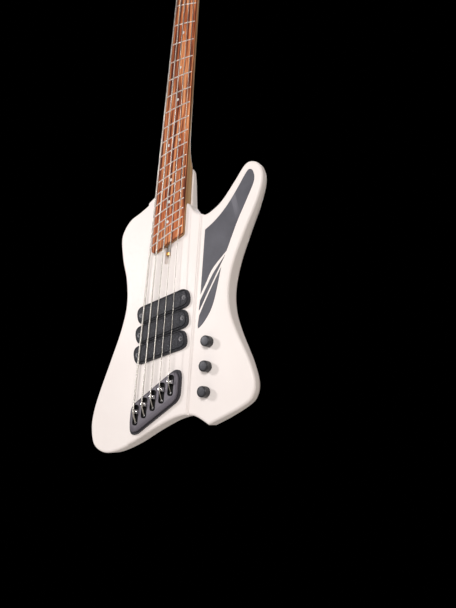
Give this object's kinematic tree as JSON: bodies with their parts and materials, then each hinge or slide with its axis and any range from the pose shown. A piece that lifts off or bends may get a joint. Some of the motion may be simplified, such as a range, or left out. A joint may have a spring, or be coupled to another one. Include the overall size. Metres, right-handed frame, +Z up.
{
  "type": "electric bass guitar",
  "caption": "Solid-body electric bass with fanned frets, a bolt-on maple neck, a long treble horn, slanted pickups and a sloped bridge plate; tuners, knobs and saddles move.",
  "frame": {"origin": "centre between the two prongs of a wall hanger, under the shoulders of the head, mid-thickness of the neck", "axes": "+Z up the neck to the head, -Y out of the face, +X towards the treble side"},
  "size_m": [0.3453, 0.0651, 1.2134],
  "materials": {
    "body_paint": "warm white satin lacquer",
    "maple": "satin oiled maple",
    "fingerboard_wood": "open-grained red-brown rosewood with nickel frets",
    "nut_black": "black composite",
    "hardware_steel": "plain steel",
    "brass": "dull brass",
    "trim_slate": "dark grey satin inlay",
    "pickup_plastic": "satin black moulded plastic",
    "coil_copper": "wound copper wire under tape",
    "bridge_anodised": "grey-violet anodised",
    "chrome": "polished",
    "string_nickel": "wound nickel",
    "black_hardware": "satin charcoal",
    "cover_plastic": "black sheet plastic"
  },
  "bodies": {
    "root": {"body": "body_paint", "neck": "maple", "fretted_fingerboard": "fingerboard_wood", "nut": "nut_black", "truss_rod": "hardware_steel", "horn_panel": "trim_slate", "horn_strip_upper": "trim_slate", "horn_strip_lower": "trim_slate", "pickup_cover_neck": "pickup_plastic", "pickup_coils_neck": "coil_copper", "pickup_cover_middle": "pickup_plastic", "pickup_coils_middle": "coil_copper", "pickup_cover_bridge": "pickup_plastic", "pickup_coils_bridge": "coil_copper", "bridge_plate": "bridge_anodised", "control_cover": "cover_plastic", "control_volume": "hardware_steel", "control_selector": "hardware_steel", "control_tone": "hardware_steel", "jack_socket": "chrome", "jack_plate": "black_hardware", "strap_button_tail": "black_hardware", "strap_button_back": "black_hardware", "neck_bolt_1": "hardware_steel", "neck_bolt_2": "hardware_steel", "neck_bolt_3": "hardware_steel", "neck_bolt_4": "hardware_steel", "string_low_b": "string_nickel", "string_e": "string_nickel", "string_a": "string_nickel", "string_d": "string_nickel", "string_g": "string_nickel", "tuner_housing_low_b": "black_hardware", "tuner_housing_e": "black_hardware", "tuner_housing_a": "black_hardware", "tuner_housing_d": "black_hardware", "tuner_housing_g": "black_hardware"},
    "key_low_b": {"tuner_key_low_b": "black_hardware"},
    "post_low_b": {"tuner_post_low_b": "chrome"},
    "saddle_body_low_b": {"saddle_low_b": "chrome"},
    "key_e": {"tuner_key_e": "black_hardware"},
    "post_e": {"tuner_post_e": "chrome"},
    "saddle_body_e": {"saddle_e": "chrome"},
    "key_a": {"tuner_key_a": "black_hardware"},
    "post_a": {"tuner_post_a": "chrome"},
    "saddle_body_a": {"saddle_a": "chrome"},
    "key_d": {"tuner_key_d": "black_hardware"},
    "post_d": {"tuner_post_d": "chrome"},
    "saddle_body_d": {"saddle_d": "chrome"},
    "key_g": {"tuner_key_g": "black_hardware"},
    "post_g": {"tuner_post_g": "chrome"},
    "saddle_body_g": {"saddle_g": "chrome"},
    "volume_control": {"knob_volume": "black_hardware", "shaft_volume": "hardware_steel"},
    "selector_control": {"knob_selector": "black_hardware", "shaft_selector": "hardware_steel"},
    "tone_control": {"knob_tone": "black_hardware", "shaft_tone": "hardware_steel"},
    "rod_wheel": {"truss_rod_wheel": "brass"}
  },
  "joints": [
    {"name": "key_turn_low_b", "type": "hinge", "parent": "root", "child": "key_low_b", "pos_m": [-0.028, 0.0175, 0.0508], "axis": [-1, 0, 0], "continuous": true},
    {"name": "post_turn_low_b", "type": "hinge", "parent": "root", "child": "post_low_b", "pos_m": [-0.028, 0.001, 0.042], "axis": [0, -1, 0], "continuous": true},
    {"name": "saddle_slide_low_b", "type": "slide", "parent": "root", "child": "saddle_body_low_b", "axis": [0, 0, 1], "range_m": [0, 0.005]},
    {"name": "key_turn_e", "type": "hinge", "parent": "root", "child": "key_e", "pos_m": [-0.026, 0.0175, 0.0908], "axis": [-1, 0, 0], "continuous": true},
    {"name": "post_turn_e", "type": "hinge", "parent": "root", "child": "post_e", "pos_m": [-0.026, 0.001, 0.082], "axis": [0, -1, 0], "continuous": true},
    {"name": "saddle_slide_e", "type": "slide", "parent": "root", "child": "saddle_body_e", "axis": [0, 0, 1], "range_m": [0, 0.005]},
    {"name": "key_turn_a", "type": "hinge", "parent": "root", "child": "key_a", "pos_m": [-0.023, 0.0175, 0.1308], "axis": [-1, 0, 0], "continuous": true},
    {"name": "post_turn_a", "type": "hinge", "parent": "root", "child": "post_a", "pos_m": [-0.023, 0.001, 0.122], "axis": [0, -1, 0], "continuous": true},
    {"name": "saddle_slide_a", "type": "slide", "parent": "root", "child": "saddle_body_a", "axis": [0, 0, 1], "range_m": [0, 0.005]},
    {"name": "key_turn_d", "type": "hinge", "parent": "root", "child": "key_d", "pos_m": [0.023, 0.0175, 0.1108], "axis": [1, 0, 0], "continuous": true},
    {"name": "post_turn_d", "type": "hinge", "parent": "root", "child": "post_d", "pos_m": [0.023, 0.001, 0.102], "axis": [0, -1, 0], "continuous": true},
    {"name": "saddle_slide_d", "type": "slide", "parent": "root", "child": "saddle_body_d", "axis": [0, 0, 1], "range_m": [0, 0.005]},
    {"name": "key_turn_g", "type": "hinge", "parent": "root", "child": "key_g", "pos_m": [0.027, 0.0175, 0.0688], "axis": [1, 0, 0], "continuous": true},
    {"name": "post_turn_g", "type": "hinge", "parent": "root", "child": "post_g", "pos_m": [0.027, 0.001, 0.06], "axis": [0, -1, 0], "continuous": true},
    {"name": "saddle_slide_g", "type": "slide", "parent": "root", "child": "saddle_body_g", "axis": [0, 0, 1], "range_m": [0, 0.005]},
    {"name": "knob_turn_volume", "type": "hinge", "parent": "root", "child": "volume_control", "pos_m": [0.0995, -0.004, -0.838], "axis": [0, -1, 0], "range_deg": [-150, 150]},
    {"name": "knob_turn_selector", "type": "hinge", "parent": "root", "child": "selector_control", "pos_m": [0.0995, -0.004, -0.8785], "axis": [0, -1, 0], "range_deg": [-60, 60]},
    {"name": "knob_turn_tone", "type": "hinge", "parent": "root", "child": "tone_control", "pos_m": [0.0995, -0.004, -0.919], "axis": [0, -1, 0], "range_deg": [-150, 150]},
    {"name": "rod_wheel_turn", "type": "hinge", "parent": "root", "child": "rod_wheel", "pos_m": [0, -0.0026, -0.679], "axis": [0, 0, 1], "range_deg": [-180, 180]}
  ],
  "couplings": [
    {"joint": "post_turn_low_b", "follows": "key_turn_low_b", "ratio": 0.05},
    {"joint": "post_turn_e", "follows": "key_turn_e", "ratio": 0.05},
    {"joint": "post_turn_a", "follows": "key_turn_a", "ratio": 0.05},
    {"joint": "post_turn_d", "follows": "key_turn_d", "ratio": 0.05},
    {"joint": "post_turn_g", "follows": "key_turn_g", "ratio": 0.05}
  ]
}
